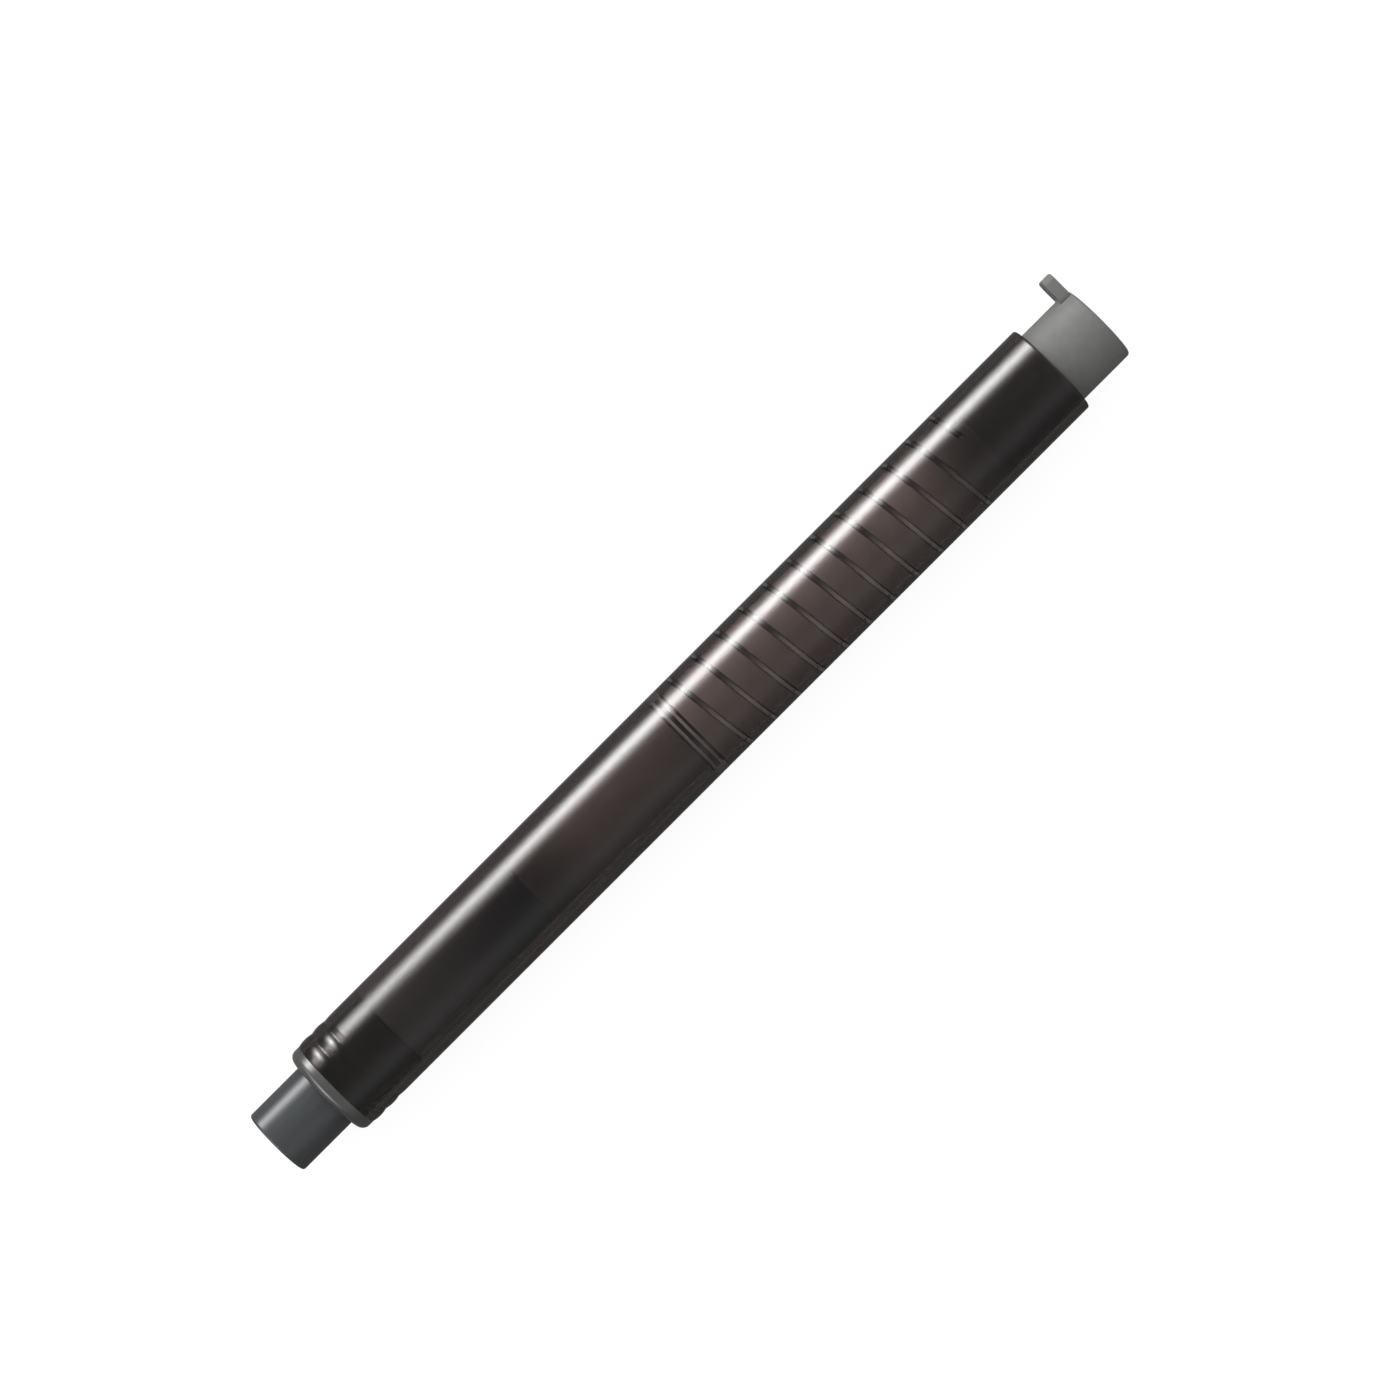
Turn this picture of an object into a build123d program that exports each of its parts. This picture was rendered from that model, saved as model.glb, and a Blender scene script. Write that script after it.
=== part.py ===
"""Twist-up eraser stick: the cartridge that a pen-shaped eraser holder takes.

Sizes are millimetres. The origin is the centre of the tail knob's flat end face, +X runs along
the stick towards the eraser's tip, +Z is up as the stick lies, and the drive tab points to -Y.
Turning the knob turns the slotted sleeve. The sleeve turns the feed rod, whose two lugs run
in the helical thread of the barrel's bore, and so the rod pushes the eraser out of the nose.
"""

import math
import os

from build123d import *

# Clearances, one for each kind of fit, on the radius or on one side
turning_clearance = 0.05
knob_clearance = 0.07
sliding_clearance = 0.08
eraser_clearance = 0.10
thread_clearance = 0.07
snap_clearance = 0.03
seat_clearance = 0.02
stop_gap = 0.20

# How far a cut runs past the face that it opens
overrun = 1.0

# Barrel: clear smoke tube with a step-free bore
barrel_length = 88.7
barrel_wall = 0.70
barrel_rim_chamfer = 0.20
bore_rim_chamfer = 0.12

# Two beads on a neck at the barrel's front end
bead_length = 1.5
bead_height = 0.10
bead_gap = 0.10
neck_depth = 0.055
neck_ramp_length = 0.65

# Helical thread: one right-hand groove cut outwards from the bore
thread_lead = 2.95
thread_width = 0.50
thread_depth = 0.30
travel_turns = 10
lug_apart_turns = 0.5
run_out_turns = 0.70
run_in_turns = 0.15

# Tail knob: journal inside the barrel, grip outside it, keyed spigot in front
knob_grip_length = 5.8
knob_journal_length = 8.95
knob_edge_chamfer = 0.25
knob_spigot_length = 1.65

# Drive tab at the end of the knob
tab_setback = 0.15
tab_thickness = 1.15
tab_width = 4.0
tab_height = 2.2
tab_corner_radius = 0.8
tab_edge_chamfer = 0.15
tab_root_fillet = 0.22

# Drive sleeve: slotted tube that turns in the barrel, held by two snap ridges
sleeve_length = 36.9
sleeve_wall = 0.495
sleeve_collar_length = 2.2
sleeve_slot_width = 1.4
snap_ridge_length = 0.40
snap_ridge_gap = 0.30
snap_ridge_height = 0.12
snap_ridge_setback = 0.12

# Eraser stick with a blind hole for the feed rod's plug
eraser_length = 31.5
eraser_exposed_length = 6.1
eraser_radius = 3.35
eraser_edge_chamfer = 0.15
eraser_hole_margin = 0.3

# Feed rod: hollow, with a barbed plug in front and two lugs on sprung legs behind
rod_wall = 0.80
rod_front_wall = 1.2
plug_radius = 1.3
plug_length = 4.5
plug_barbs = 3
plug_barb_height = 0.20
leg_slit_width = 0.5
leg_slit_length = 8.0
lug_width = 1.2
lug_setback = 1.36

# Nose guide: flanged bush pressed in the barrel's mouth
flange_length = 1.3
flange_round = 0.75
guide_length = 7.0
guide_chamfer = 0.20
mouth_chamfer = 0.12

# Radii that follow from the fits and walls, from the eraser outwards
rod_radius = eraser_radius
rod_bore_radius = rod_radius - rod_wall
sleeve_bore_radius = rod_radius + sliding_clearance
sleeve_radius = sleeve_bore_radius + sleeve_wall
bore_radius = sleeve_radius + turning_clearance
barrel_radius = bore_radius + barrel_wall
neck_radius = barrel_radius - neck_depth
knob_radius = bore_radius - knob_clearance
spigot_radius = sleeve_bore_radius - seat_clearance
guide_radius = bore_radius - seat_clearance
mouth_radius = eraser_radius + eraser_clearance
thread_radius = bore_radius + thread_depth
snap_ridge_radius = sleeve_radius + snap_ridge_height
snap_groove_radius = snap_ridge_radius + turning_clearance + snap_clearance
tab_tip_radius = knob_radius + tab_height

# Places along the stick, from the knob's end face
barrel_rear = knob_grip_length
barrel_front = barrel_rear + barrel_length
nose_face = barrel_front + flange_length
eraser_front = nose_face + eraser_exposed_length
eraser_rear = eraser_front - eraser_length
knob_shoulder = knob_grip_length + knob_journal_length
spigot_front = knob_shoulder + knob_spigot_length
rod_rear = spigot_front + stop_gap
sleeve_front = knob_shoulder + sleeve_length
slot_front = sleeve_front - sleeve_collar_length
snap_front = sleeve_front - snap_ridge_setback
snap_length = 2 * snap_ridge_length + snap_ridge_gap

# Lugs on opposite sides and half a turn apart, so that both stand in the one groove
rear_lug = rod_rear + lug_setback
front_lug = rear_lug + lug_apart_turns * thread_lead
lug_thickness = thread_width - 2 * thread_clearance
lug_corner_radius = thread_radius - thread_clearance
lug_height_radius = math.sqrt(lug_corner_radius**2 - (lug_width / 2) ** 2)
lug_tilt = math.degrees(math.atan(thread_lead / (2 * math.pi * lug_height_radius)))

# Groove from behind the rear lug's rest place to just past the front lug's last one
thread_turns = run_out_turns + lug_apart_turns + travel_turns + run_in_turns
thread_rear = rear_lug - run_out_turns * thread_lead
full_turn = 360
quarter_turn = 90
thread_start_angle = -quarter_turn - run_out_turns * full_turn


# Barrel tube: outline turned about the stick's axis
with BuildPart() as barrel:
    with BuildSketch(Plane.XY):
        with BuildLine():
            front_bead_rear = barrel_front - bead_length
            rear_bead_front = front_bead_rear - bead_gap
            rear_bead_rear = rear_bead_front - bead_length
            bead_crest = neck_radius + bead_height
            front_bead = ThreePointArc(
                (barrel_front, neck_radius),
                (barrel_front - bead_length / 2, bead_crest),
                (front_bead_rear, neck_radius),
            )
            valley = Line(front_bead @ 1, (rear_bead_front, neck_radius))
            rear_bead = ThreePointArc(
                valley @ 1,
                (rear_bead_front - bead_length / 2, bead_crest),
                (rear_bead_rear, neck_radius),
            )
            ramp = Line(rear_bead @ 1, (rear_bead_rear - neck_ramp_length, barrel_radius))
            shank = Line(ramp @ 1, (barrel_rear, barrel_radius))
            rim = Line(shank @ 1, (barrel_rear, bore_radius))
            bore = Line(rim @ 1, (barrel_front, bore_radius))
            Line(bore @ 1, front_bead @ 0)
        make_face()
    revolve(axis=Axis.X)
    rear_edges = barrel.edges().filter_by(GeomType.CIRCLE).group_by(Axis.X)[0].sort_by(SortBy.RADIUS)
    chamfer(rear_edges[0], length=bore_rim_chamfer)
    rear_edges = barrel.edges().filter_by(GeomType.CIRCLE).group_by(Axis.X)[0].sort_by(SortBy.RADIUS)
    chamfer(rear_edges[-1], length=barrel_rim_chamfer)

    # Snap groove for the sleeve's two ridges
    groove_length = snap_length + 2 * snap_ridge_setback
    with BuildSketch(Plane.YZ.offset(sleeve_front - groove_length)):
        Circle(snap_groove_radius)
        Circle(bore_radius - overrun, mode=Mode.SUBTRACT)
    extrude(amount=groove_length, mode=Mode.SUBTRACT)

    # Helical thread groove
    with BuildLine() as thread_line:
        Helix(
            pitch=thread_lead,
            height=thread_turns * thread_lead,
            radius=bore_radius,
            center=(thread_rear, 0, 0),
            direction=(1, 0, 0),
        )
    thread_path = thread_line.wire().rotate(Axis.X, thread_start_angle)
    thread_start = thread_path.position_at(0)
    outward = Vector(0, thread_start.Y, thread_start.Z)
    with BuildSketch(Plane(origin=thread_start, x_dir=outward, z_dir=thread_path.tangent_at(0))):
        Rectangle(2 * thread_depth, thread_width)
    sweep(path=thread_path, is_frenet=True, mode=Mode.SUBTRACT)

# Nose guide: bush with a rounded flange that makes the lip of the stick
with BuildPart() as nose_guide:
    with BuildSketch(Plane.YZ.offset(barrel_front)):
        Circle(neck_radius)
        Circle(mouth_radius, mode=Mode.SUBTRACT)
    extrude(amount=flange_length)
    with BuildSketch(Plane.YZ.offset(barrel_front - guide_length)):
        Circle(guide_radius)
        Circle(mouth_radius, mode=Mode.SUBTRACT)
    extrude(amount=guide_length)
    face_edges = nose_guide.edges().filter_by(GeomType.CIRCLE).group_by(Axis.X)[-1].sort_by(SortBy.RADIUS)
    fillet(face_edges[-1], radius=flange_round)
    face_edges = nose_guide.edges().filter_by(GeomType.CIRCLE).group_by(Axis.X)[-1].sort_by(SortBy.RADIUS)
    chamfer(face_edges[0], length=mouth_chamfer)
    rear_edges = nose_guide.edges().filter_by(GeomType.CIRCLE).group_by(Axis.X)[0]
    chamfer(rear_edges, length=guide_chamfer)

# Eraser: extruded stick, cut to length
with BuildPart() as eraser:
    with BuildSketch(Plane.YZ.offset(eraser_rear)):
        Circle(eraser_radius)
    extrude(amount=eraser_length)
    chamfer(eraser.edges().filter_by(GeomType.CIRCLE).group_by(Axis.X)[-1], length=eraser_edge_chamfer)
    with BuildSketch(Plane.YZ.offset(eraser_rear)):
        Circle(plug_radius + plug_barb_height + seat_clearance)
    extrude(amount=plug_length + eraser_hole_margin, mode=Mode.SUBTRACT)

# Feed rod: tube closed in front, barbed plug, two sprung legs with a lug each
with BuildPart() as feed_rod:
    with BuildSketch(Plane.YZ.offset(rod_rear)):
        Circle(rod_radius)
    extrude(amount=eraser_rear - rod_rear)
    with BuildSketch(Plane.YZ.offset(rod_rear)):
        Circle(rod_bore_radius)
    extrude(amount=eraser_rear - rod_front_wall - rod_rear, mode=Mode.SUBTRACT)
    barb_length = plug_length / plug_barbs
    with BuildSketch(Plane.XY):
        with BuildLine():
            foot = Line((eraser_rear, 0), (eraser_rear, plug_radius))
            outline_end = foot @ 1
            for barb in range(plug_barbs):
                barb_rear = eraser_rear + barb * barb_length
                step = Line(outline_end, (barb_rear, plug_radius + plug_barb_height))
                slope = Line(step @ 1, (barb_rear + barb_length, plug_radius))
                outline_end = slope @ 1
            tip = Line(outline_end, (eraser_rear + plug_length, 0))
            Line(tip @ 1, foot @ 0)
        make_face()
    revolve(axis=Axis.X)
    with BuildSketch(Plane.XY):
        with Locations((rod_rear, 0)):
            Rectangle(2 * leg_slit_length, leg_slit_width)
    extrude(amount=rod_radius + overrun, both=True, mode=Mode.SUBTRACT)
    lug_length = lug_height_radius - rod_radius + rod_wall / 2
    lug_middle = lug_height_radius - lug_length / 2
    for side, place in ((1, rear_lug), (-1, front_lug)):
        with Locations(Location((place, side * lug_middle, 0), (0, side * lug_tilt, 0))):
            Box(lug_thickness, lug_length, lug_width)

# Drive sleeve: turned outline with two snap ridges, then two slots open to the rear
with BuildPart() as drive_sleeve:
    with BuildSketch(Plane.XY):
        with BuildLine():
            second_front = snap_front - snap_ridge_length - snap_ridge_gap
            inner = Line((knob_shoulder, sleeve_bore_radius), (sleeve_front, sleeve_bore_radius))
            face = Line(inner @ 1, (sleeve_front, sleeve_radius))
            outline_end = face @ 1
            for ridge_front in (snap_front, second_front):
                land = Line(outline_end, (ridge_front, sleeve_radius))
                rise = Line(land @ 1, (ridge_front - snap_ridge_length / 2, snap_ridge_radius))
                fall = Line(rise @ 1, (ridge_front - snap_ridge_length, sleeve_radius))
                outline_end = fall @ 1
            outer = Line(outline_end, (knob_shoulder, sleeve_radius))
            Line(outer @ 1, inner @ 0)
        make_face()
    revolve(axis=Axis.X)
    with BuildSketch(Plane.XZ):
        with Locations(((knob_shoulder + slot_front - overrun) / 2, 0)):
            Rectangle(slot_front - knob_shoulder + overrun, sleeve_slot_width)
    extrude(amount=sleeve_radius + overrun, both=True, mode=Mode.SUBTRACT)

# Drive tab with rounded corners and chamfered edges, drawn from the stick's axis outwards
with BuildPart() as drive_tab:
    with BuildSketch(Plane.YZ.offset(tab_setback)) as tab_outline:
        with Locations((-tab_tip_radius / 2, 0)):
            Rectangle(tab_tip_radius, tab_width)
        fillet(tab_outline.vertices().group_by(Axis.X)[0], radius=tab_corner_radius)
    extrude(amount=tab_thickness)
    tab_faces = drive_tab.faces().filter_by(Axis.X)
    tab_edges = tab_faces.edges().filter_by_position(Axis.Y, -tab_tip_radius, -tab_edge_chamfer)
    chamfer(tab_edges, length=tab_edge_chamfer)

# Tail knob: grip and journal, keyed spigot, and the tab joined on with a fillet at its root
with BuildPart() as tail_knob:
    with BuildSketch(Plane.YZ):
        Circle(knob_radius)
    extrude(amount=knob_shoulder)
    chamfer(tail_knob.edges().filter_by(GeomType.CIRCLE).group_by(Axis.X)[0], length=knob_edge_chamfer)
    add(drive_tab.part)
    tab_front = tab_setback + tab_thickness
    front_edges = tail_knob.edges().filter_by_position(Axis.X, tab_front, tab_front)
    root_edge = front_edges.filter_by(GeomType.CIRCLE).sort_by(SortBy.RADIUS)[-1]
    fillet(root_edge, radius=tab_root_fillet)
    with BuildSketch(Plane.YZ.offset(knob_shoulder)):
        Circle(knob_radius)
        Rectangle(2 * knob_radius, sleeve_slot_width - 2 * seat_clearance, mode=Mode.INTERSECT)
        Circle(spigot_radius)
    extrude(amount=knob_spigot_length)

pieces = {
    "barrel": barrel,
    "nose_guide": nose_guide,
    "eraser": eraser,
    "feed_rod": feed_rod,
    "drive_sleeve": drive_sleeve,
    "tail_knob": tail_knob,
}
os.makedirs("parts", exist_ok=True)
for name, piece in pieces.items():
    piece.part.label = name
    export_step(piece.part, f"parts/{name}.step")
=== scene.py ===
"""Looks of the twist-up eraser stick: fine surfaces, materials, light and camera.

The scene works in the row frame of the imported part: the origin is the centre of the knob's flat
end, +X runs along the stick towards the eraser's tip, +Z is up, and the drive tab points to -Y.
Lengths in the dataclasses are millimetres. Mesh code turns them into metres once, in MeshData.
Angles about the stick are measured from +Y towards +Z.
"""

import logging
import math
from dataclasses import dataclass, field
from enum import Enum

import bmesh
import bpy
import numpy as np
from mathutils import Matrix, Vector


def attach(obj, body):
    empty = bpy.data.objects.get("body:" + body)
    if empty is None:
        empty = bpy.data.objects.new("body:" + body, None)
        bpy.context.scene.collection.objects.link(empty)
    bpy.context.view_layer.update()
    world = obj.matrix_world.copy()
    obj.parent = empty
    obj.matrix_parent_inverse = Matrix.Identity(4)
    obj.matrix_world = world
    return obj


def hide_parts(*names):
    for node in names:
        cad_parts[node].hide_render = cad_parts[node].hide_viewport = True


LOG = logging.getLogger("eraser_stick")
MM = 0.001
FULL_TURN = 2.0 * math.pi
IMAGE_SIDE_PX = 1380
PX_PER_MM = 11.40
WELD_METRES = 2e-7
DEGENERATE_METRES = 1e-7
SLIVER_MM2 = 1e-7
SHARPEST = 1e-3

Node, Socket, Tree = bpy.types.Node, bpy.types.NodeSocket, bpy.types.NodeTree
Corner = tuple[float, float, float]

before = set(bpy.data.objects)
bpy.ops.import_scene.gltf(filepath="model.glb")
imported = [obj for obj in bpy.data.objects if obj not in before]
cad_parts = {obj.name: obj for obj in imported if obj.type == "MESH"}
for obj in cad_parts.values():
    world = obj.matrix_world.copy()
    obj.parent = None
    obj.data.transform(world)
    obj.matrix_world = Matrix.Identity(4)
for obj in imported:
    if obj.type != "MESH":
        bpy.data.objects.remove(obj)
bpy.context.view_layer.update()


class Body(Enum):
    """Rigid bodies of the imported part."""

    BARREL = "barrel_body"
    KNOB = "knob_body"
    ROD = "rod_body"


class Slot(Enum):
    """Material slots of the record."""

    SMOKE = "smoke_plastic"
    DARK = "dark_plastic"
    ERASER = "eraser_vinyl"
    NATURAL = "natural_plastic"
    GREY = "grey_plastic"


class FlatAxis(Enum):
    """Axes of the row frame that lie flat."""

    X = "X"
    Y = "Y"


@dataclass(frozen=True)
class Sizes:
    """Millimetre sizes that several pieces share, the same as in the part's source."""

    eraser_radius: float = 3.35
    sliding_clearance: float = 0.08
    sleeve_wall: float = 0.495
    turning_clearance: float = 0.05
    barrel_wall: float = 0.70
    knob_clearance: float = 0.07
    eraser_clearance: float = 0.10
    seat_clearance: float = 0.02
    knob_grip_length: float = 5.8
    knob_journal_length: float = 8.95
    knob_spigot_length: float = 1.65
    stop_gap: float = 0.20
    barrel_length: float = 88.7
    flange_length: float = 1.3
    eraser_exposed_length: float = 6.1
    eraser_length: float = 31.5
    sleeve_length: float = 36.9
    sleeve_collar_length: float = 2.2
    sleeve_slot_width: float = 1.4
    neck_depth: float = 0.055
    thread_lead: float = 2.95
    thread_width: float = 0.50
    thread_depth: float = 0.30
    thread_clearance: float = 0.07
    lug_setback: float = 1.36

    @property
    def sleeve_bore_radius(self) -> float:
        """Radius in which the feed rod slides."""
        return self.eraser_radius + self.sliding_clearance

    @property
    def sleeve_radius(self) -> float:
        """Outer radius of the drive sleeve."""
        return self.sleeve_bore_radius + self.sleeve_wall

    @property
    def bore_radius(self) -> float:
        """Radius of the barrel's bore."""
        return self.sleeve_radius + self.turning_clearance

    @property
    def barrel_radius(self) -> float:
        """Outer radius of the barrel's shank."""
        return self.bore_radius + self.barrel_wall

    @property
    def neck_radius(self) -> float:
        """Outer radius between the beads and of the lip."""
        return self.barrel_radius - self.neck_depth

    @property
    def knob_radius(self) -> float:
        """Radius of the tail knob."""
        return self.bore_radius - self.knob_clearance

    @property
    def barrel_front(self) -> float:
        """Place of the barrel's front end."""
        return self.knob_grip_length + self.barrel_length

    @property
    def nose_face(self) -> float:
        """Place of the lip's front face."""
        return self.barrel_front + self.flange_length

    @property
    def eraser_front(self) -> float:
        """Place of the eraser's tip."""
        return self.nose_face + self.eraser_exposed_length

    @property
    def eraser_rear(self) -> float:
        """Place of the eraser's rear face."""
        return self.eraser_front - self.eraser_length

    @property
    def knob_shoulder(self) -> float:
        """Place of the shoulder in front of the knob's journal."""
        return self.knob_grip_length + self.knob_journal_length

    @property
    def rod_rear(self) -> float:
        """Place of the feed rod's rear end."""
        return self.knob_shoulder + self.knob_spigot_length + self.stop_gap

    @property
    def sleeve_front(self) -> float:
        """Place of the drive sleeve's front end."""
        return self.knob_shoulder + self.sleeve_length

    @property
    def slot_front(self) -> float:
        """Place where the sleeve's two slots end."""
        return self.sleeve_front - self.sleeve_collar_length

    @property
    def rear_lug(self) -> float:
        """Place of the lug on the +Y side."""
        return self.rod_rear + self.lug_setback


@dataclass(frozen=True)
class Edges:
    """Radii of the small moulded edges in millimetres.

    Attributes:
        foot: Foot of a snap ridge.
        chamfer: Ends of a chamfer in the barrel.
        bore: Edge between a bore and a face.
        plain: Any other plain edge.
        shoulder: Edge of a shoulder, and top of a snap ridge.
        free: Edge that is handled, or leads a piece in.
    """

    foot: float = 0.02
    chamfer: float = 0.03
    bore: float = 0.04
    plain: float = 0.05
    shoulder: float = 0.08
    free: float = 0.10


SIZES = Sizes()
EDGES = Edges()


# Geometry


@dataclass
class MeshData:
    """Vertices in millimetres and polygons, gathered before they become one Blender mesh."""

    points: list[np.ndarray] = field(default_factory=list)
    faces: list[list[int]] = field(default_factory=list)

    @property
    def count(self) -> int:
        """Number of vertices so far."""
        return sum(len(p) for p in self.points)

    def add(self, points: np.ndarray, faces: np.ndarray | list) -> None:
        """Adds a patch.

        Args:
            points: Array of shape (n, 3) in millimetres.
            faces: Rows of vertex numbers that count from the patch's own first vertex.
        """
        start = self.count
        self.points.append(np.asarray(points, float))
        self.faces += (np.asarray(faces) + start).tolist()

    def build(self, name: str, sharp_degrees: float = 32.0) -> bpy.types.Object:
        """Welds the patches into one closed mesh and makes its object.

        Args:
            name: Name of the object and mesh.
            sharp_degrees: Edges that turn by more than this stay sharp.

        Returns:
            The object, at the origin and unscaled.
        """
        mesh = bpy.data.meshes.new(name)
        mesh.from_pydata((np.concatenate(self.points) * MM).tolist(), [], self.faces)
        work = bmesh.new()
        work.from_mesh(mesh)
        bmesh.ops.remove_doubles(work, verts=work.verts, dist=WELD_METRES)
        bmesh.ops.dissolve_degenerate(work, edges=work.edges, dist=DEGENERATE_METRES)
        bmesh.ops.recalc_face_normals(work, faces=work.faces)
        work.to_mesh(mesh)
        work.free()
        mesh.polygons.foreach_set("use_smooth", np.ones(len(mesh.polygons), bool))
        mesh.set_sharp_from_angle(angle=math.radians(sharp_degrees))
        obj = bpy.data.objects.new(name, mesh)
        bpy.context.scene.collection.objects.link(obj)
        return obj


def rounded(corners: list[Corner], steps: int = 6) -> np.ndarray:
    """Polyline whose corners are replaced by arcs.

    Each corner (x, r, radius) with a radius above 0 becomes an arc that touches both of its sides:
    the arc starts and ends at radius / tan(half the corner's angle) from the corner.

    Args:
        corners: Points of the line with the radius at each. The first and last aren't rounded.
        steps: Segments in each arc.

    Returns:
        Array of shape (n, 2) with x and r.
    """
    line = [np.array(corners[0][:2], float)]
    for before, here, after in zip(corners, corners[1:], corners[2:]):
        corner, radius = np.array(here[:2], float), here[2]
        if radius <= 0:
            line.append(corner)
            continue
        back = np.array(before[:2], float) - corner
        ahead = np.array(after[:2], float) - corner
        back, ahead = back / np.linalg.norm(back), ahead / np.linalg.norm(ahead)
        half = math.acos(float(np.clip(back @ ahead, -1, 1))) / 2
        bisector = (back + ahead) / np.linalg.norm(back + ahead)
        centre = corner + bisector * radius / math.sin(half)
        start, end = (corner + side * radius / math.tan(half) - centre for side in (back, ahead))
        sweep = math.pi - 2 * half
        share = np.linspace(0.0, 1.0, steps + 1)[:, None]
        arc = np.sin((1 - share) * sweep) * start + np.sin(share * sweep) * end
        line += list(centre + arc / math.sin(sweep))
    line.append(np.array(corners[-1][:2], float))
    return np.array(line)


def densified(line: np.ndarray, longest: float, hold: float = 0.05) -> np.ndarray:
    """The same polyline with more points, so that smooth shading stays flat beside the arcs.

    Args:
        line: Points of x and r.
        longest: No segment stays longer than this.
        hold: Each segment longer than eight holds gets a point one hold from both of its ends.

    Returns:
        The denser line.
    """
    pieces = []
    for a, b in zip(line, line[1:]):
        length = float(np.linalg.norm(b - a))
        share = np.linspace(0, 1, max(1, math.ceil(length / longest)), endpoint=False)
        if length > 8 * hold:
            share = np.sort(np.append(share, [hold / length, 1 - hold / length]))
        pieces.append(a + (b - a) * share[:, None])
    pieces.append(line[-1:])
    return np.concatenate(pieces)


def around(x: np.ndarray, radius: np.ndarray, angle: np.ndarray) -> np.ndarray:
    """Cylinder coordinates to points: y is radius times cosine and z radius times sine."""
    x, radius, angle = np.broadcast_arrays(x, radius, angle)
    return np.stack([x, radius * np.cos(angle), radius * np.sin(angle)], axis=-1).reshape(-1, 3)


def grid_faces(rows: int, columns: int, wrap: bool) -> np.ndarray:
    """Quads of a grid stored row by row: each joins points j and j + 1 of rows i and i + 1.

    Args:
        rows: Rows of points.
        columns: Points in a row.
        wrap: Whether the last column joins the first.

    Returns:
        Array of shape (n, 4) with vertex numbers.
    """
    last = columns if wrap else columns - 1
    i, j = np.meshgrid(np.arange(rows - 1), np.arange(last), indexing="ij")
    k = (j + 1) % columns
    here, ahead = i * columns, (i + 1) * columns
    return np.stack([here + j, ahead + j, ahead + k, here + k], -1).reshape(-1, 4)


def revolve(mesh: MeshData, line: np.ndarray, columns: int) -> None:
    """Turns a polyline of (x, r) a full turn about the stick's axis."""
    angle = np.arange(columns) * FULL_TURN / columns
    mesh.add(around(line[:, :1], line[:, 1:], angle[None, :]), grid_faces(len(line), columns, True))


def sector(mesh: MeshData, loop: np.ndarray, start: float, end: float, columns: int) -> None:
    """Sweeps a closed loop of (x, r) over part of a turn and closes both ends.

    Args:
        mesh: Mesh to add to.
        loop: Closed outline, whose last point isn't repeated.
        start: First angle in radians.
        end: Last angle in radians.
        columns: Columns of points, ends included.
    """
    ring = np.vstack([loop, loop[:1]])
    angle = np.linspace(start, end, columns)
    mesh.add(around(ring[:, :1], ring[:, 1:], angle[None, :]), grid_faces(len(ring), columns, False))
    for side in (start, end):
        mesh.add(around(loop[:, 0], loop[:, 1], np.array(side)), [list(range(len(loop)))])


def plate(
    mesh: MeshData,
    half_width: float,
    half_height: float,
    thickness: float,
    corner: float,
    edge: float,
    place: Matrix,
    corner_steps: int = 8,
    edge_steps: int = 4,
) -> None:
    """Flat block with round corners and rounded edges.

    Each ring is the outline moved in by the inset of a quarter circle of radius edge: at angle a
    the inset is edge * (1 - sin a), and the face stands edge * (1 - cos a) below its full height.

    Args:
        mesh: Mesh to add to.
        half_width: Half the outline's size along the block's own first axis.
        half_height: Half the outline's size along its second axis.
        thickness: Size along its third axis.
        corner: Radius of the outline's corners.
        edge: Radius of the edges round both faces.
        place: Turns and moves the block into the row frame, in millimetres.
        corner_steps: Segments in a corner.
        edge_steps: Segments in an edge.
    """
    turn = np.linspace(0, math.pi / 2, corner_steps + 1)
    angle = np.concatenate([turn + k * math.pi / 2 for k in range(4)])
    quarter = np.repeat(np.arange(4), corner_steps + 1)
    sign_u = np.array([1, -1, -1, 1])[quarter]
    sign_v = np.array([1, 1, -1, -1])[quarter]
    rise = np.linspace(0, math.pi / 2, edge_steps + 1)
    inset = edge * (1 - np.sin(rise))
    height = thickness / 2 - edge + edge * np.cos(rise)
    rings = [(inset[k], height[k]) for k in range(len(rise))]
    rings += [(inset[k], -height[k]) for k in reversed(range(len(rise)))]
    rows = []
    for moved_in, level in rings:
        radius = max(corner - moved_in, SHARPEST)
        u = sign_u * (half_width - corner) + radius * np.cos(angle)
        v = sign_v * (half_height - corner) + radius * np.sin(angle)
        rows.append(np.stack([u, v, np.full_like(u, level)], -1))
    rows = [rows[0] * [0, 0, 1]] + rows + [rows[-1] * [0, 0, 1]]
    points = np.concatenate(rows)
    matrix = np.array(place)
    points = points @ matrix[:3, :3].T + matrix[:3, 3]
    mesh.add(points, grid_faces(len(rows), len(angle), True))


# Pieces


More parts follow.
